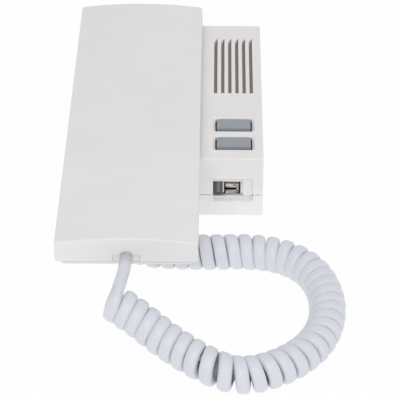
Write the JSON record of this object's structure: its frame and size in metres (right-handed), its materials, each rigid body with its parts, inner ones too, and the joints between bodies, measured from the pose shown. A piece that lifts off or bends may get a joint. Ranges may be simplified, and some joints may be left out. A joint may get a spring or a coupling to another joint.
{
  "type": "audio intercom handset",
  "caption": "Wall intercom with a lift-off handset on a curly cord, speech slots, push buttons and a volume slide switch behind a window in its bottom end.",
  "frame": {"origin": "middle of the back plane, under the middle of the handset's length, the cord left out", "axes": "+X across the unit towards its speech slots, +Y along the handset towards its ear end, +Z out of the wall"},
  "size_m": [0.1233, 0.2501, 0.0438],
  "materials": {
    "case_plastic": "fine matt moulded",
    "handset_plastic": "fine matt moulded",
    "button_plastic": "satin moulded",
    "lever_plastic": "satin moulded",
    "switch_steel": "brushed",
    "cord_jacket": "soft satin",
    "grommet_plastic": "satin moulded",
    "screw_steel": "zinc plated",
    "foam_rubber": "matt foam",
    "speaker_steel": "zinc plated",
    "speaker_paper": "matt fibrous",
    "magnet": "sintered",
    "board_laminate": "solder mask",
    "component_black": "moulded",
    "terminal_plastic": "moulded",
    "ballast_steel": "mill finish"
  },
  "bodies": {
    "base": {"back_shell": "case_plastic", "front_cover": "case_plastic", "speaker_gasket": "foam_rubber", "speaker_frame": "speaker_steel", "speaker_cone": "speaker_paper", "speaker_magnet": "magnet", "circuit_board": "board_laminate", "board_screws": "screw_steel", "board_components": "component_black", "terminal_block": "terminal_plastic", "terminal_screws": "screw_steel", "hook_switch": "component_black", "upper_button_switch": "component_black", "lower_button_switch": "component_black", "volume_switch_base": "component_black", "volume_switch_frame": "switch_steel", "case_screws": "screw_steel", "base_grommet": "grommet_plastic", "curly_cord": "cord_jacket"},
    "handset": {"handset_cover": "handset_plastic", "handset_inner_shell": "handset_plastic", "handset_grommet": "grommet_plastic", "earpiece_gasket": "foam_rubber", "earpiece": "component_black", "microphone_sleeve": "foam_rubber", "microphone": "speaker_steel", "ballast": "ballast_steel", "handset_screws": "screw_steel"},
    "hook_plunger": {"hook_plunger": "grommet_plastic"},
    "upper_button": {"upper_button": "button_plastic", "upper_switch_plunger": "component_black"},
    "lower_button": {"lower_button": "button_plastic", "lower_switch_plunger": "component_black"},
    "volume_lever": {"volume_lever": "lever_plastic"}
  },
  "joints": [
    {"name": "handset_lift", "type": "slide", "parent": "base", "child": "handset", "axis": [0, 0, 1], "range_m": [0, 0.04]},
    {"name": "hook_plunger_rise", "type": "slide", "parent": "base", "child": "hook_plunger", "axis": [0, 0, 1], "range_m": [0, 0.0035]},
    {"name": "upper_button_press", "type": "slide", "parent": "base", "child": "upper_button", "axis": [0, 0, -1], "range_m": [0, 0.0008], "stiffness_N_per_m": 1500, "springref_m": -0.0002},
    {"name": "lower_button_press", "type": "slide", "parent": "base", "child": "lower_button", "axis": [0, 0, -1], "range_m": [0, 0.0008], "stiffness_N_per_m": 1500, "springref_m": -0.0002},
    {"name": "volume_slide", "type": "slide", "parent": "base", "child": "volume_lever", "axis": [1, 0, 0], "range_m": [0, 0.0076]}
  ],
  "couplings": [
    {"joint": "hook_plunger_rise", "follows": "handset_lift", "ratio": 0.0875}
  ]
}
